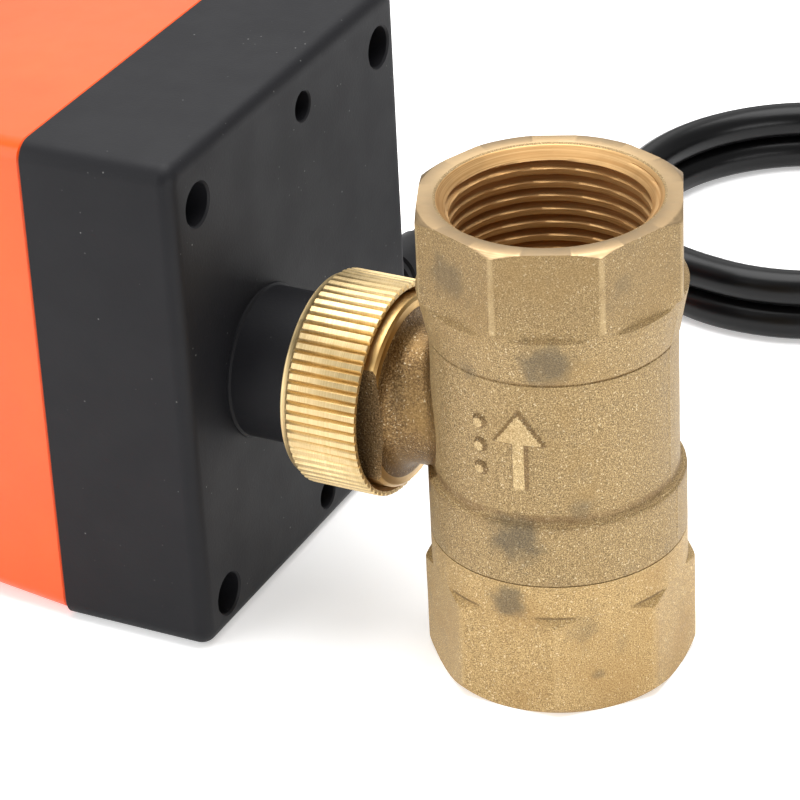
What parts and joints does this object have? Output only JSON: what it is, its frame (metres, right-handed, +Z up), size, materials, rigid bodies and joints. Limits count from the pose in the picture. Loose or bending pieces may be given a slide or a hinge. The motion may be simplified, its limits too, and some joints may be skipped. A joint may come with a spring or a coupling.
{
  "type": "motorised zone valve",
  "caption": "Brass two-way ball valve with an octagonal port at each end and an electric quarter-turn actuator, held on a side neck by a knurled union nut, with a coiled lead.",
  "frame": {"origin": "centre of the lower port's mouth", "axes": "+Z up along the pipe axis, out of the upper port; the stem lies along X, with the actuator on the -X side"},
  "size_m": [0.1131, 0.1621, 0.068],
  "materials": {
    "forged_brass": "sandblasted forging",
    "connector_brass": "sandblasted forging",
    "nut_brass": "bright turned and knurled",
    "stem_brass": "turned",
    "ball_chrome": "polished plating",
    "seat_ptfe": "waxy",
    "black_rubber": "moulded",
    "base_plastic": "fine moulded grain",
    "cover_plastic": "glossy moulded",
    "zinc_steel": "zinc plated",
    "shaft_steel": "turned",
    "gear_plastic": "moulded acetal",
    "cam_plastic": "moulded",
    "motor_can": "pressed zinc plated can",
    "switch_plastic": "moulded",
    "board_laminate": "solder mask over glass laminate",
    "relay_plastic": "moulded",
    "terminal_plastic": "moulded",
    "capacitor_sleeve": "shrink sleeve",
    "core_insulation": "PVC",
    "cable_pvc": "smooth PVC sheath"
  },
  "bodies": {
    "valve_and_actuator": {"valve_body": "forged_brass", "end_connector": "connector_brass", "body_seal": "black_rubber", "upper_seat": "seat_ptfe", "lower_seat": "seat_ptfe", "thrust_washer": "seat_ptfe", "nut_retaining_ring": "zinc_steel", "actuator_base": "base_plastic", "actuator_cover": "cover_plastic", "cover_gasket": "black_rubber", "cover_screws": "zinc_steel", "shaft_bush": "stem_brass", "idler_pin": "shaft_steel", "gear_motor": "motor_can", "gear_plate": "zinc_steel", "gear_plate_screws": "zinc_steel", "motor_screws": "zinc_steel", "limit_switches": "switch_plastic", "switch_pads": "gear_plastic", "circuit_board": "board_laminate", "board_standoffs": "stem_brass", "board_screws": "zinc_steel", "relay": "relay_plastic", "terminal_block": "terminal_plastic", "capacitor": "capacitor_sleeve", "cord_clamp": "gear_plastic", "clamp_screws": "zinc_steel", "core_wires": "core_insulation", "cable_gland": "black_rubber", "cable_lead": "cable_pvc", "cable_coil": "cable_pvc", "cable_tail": "cable_pvc", "wire_ends": "core_insulation"},
    "closing_train": {"ball": "ball_chrome", "valve_stem": "stem_brass", "stem_seals": "black_rubber", "drive_shaft": "shaft_steel", "output_gear": "gear_plastic", "switch_cam": "cam_plastic"},
    "idler": {"idler_gear": "gear_plastic"},
    "motor_output": {"motor_pinion": "shaft_steel"},
    "open_lever": {"open_switch_lever": "shaft_steel"},
    "closed_lever": {"closed_switch_lever": "shaft_steel"},
    "nut": {"union_nut": "nut_brass"}
  },
  "joints": [
    {"name": "valve_quarter_turn", "type": "hinge", "parent": "valve_and_actuator", "child": "closing_train", "pos_m": [0, 0, 0.0325], "axis": [1, 0, 0], "range_deg": [0, 90]},
    {"name": "idler_spin", "type": "hinge", "parent": "valve_and_actuator", "child": "idler", "pos_m": [-0.05, 0.01689, 0.04225], "axis": [1, 0, 0], "range_deg": [-300, 0]},
    {"name": "motor_pinion_spin", "type": "hinge", "parent": "valve_and_actuator", "child": "motor_output", "pos_m": [-0.05, 0.02539, 0.02753], "axis": [1, 0, 0], "range_deg": [0, 833.33]},
    {"name": "open_switch_lever_tilt", "type": "hinge", "parent": "valve_and_actuator", "child": "open_lever", "pos_m": [-0.0527, -0.0065, 0.02395], "axis": [1, 0, 0], "range_deg": [0, 10]},
    {"name": "closed_switch_lever_tilt", "type": "hinge", "parent": "valve_and_actuator", "child": "closed_lever", "pos_m": [-0.0527, -0.0065, 0.04105], "axis": [1, 0, 0], "range_deg": [0, 10]},
    {"name": "union_nut_turn", "type": "hinge", "parent": "valve_and_actuator", "child": "nut", "pos_m": [-0.026, 0, 0.0325], "axis": [1, 0, 0], "continuous": true}
  ],
  "couplings": [
    {"joint": "idler_spin", "follows": "valve_quarter_turn", "ratio": -3.3333},
    {"joint": "motor_pinion_spin", "follows": "valve_quarter_turn", "ratio": 9.2593},
    {"joint": "open_switch_lever_tilt", "follows": "valve_quarter_turn", "ratio": 0.11111},
    {"joint": "closed_switch_lever_tilt", "follows": "valve_quarter_turn", "ratio": 0.11111}
  ]
}
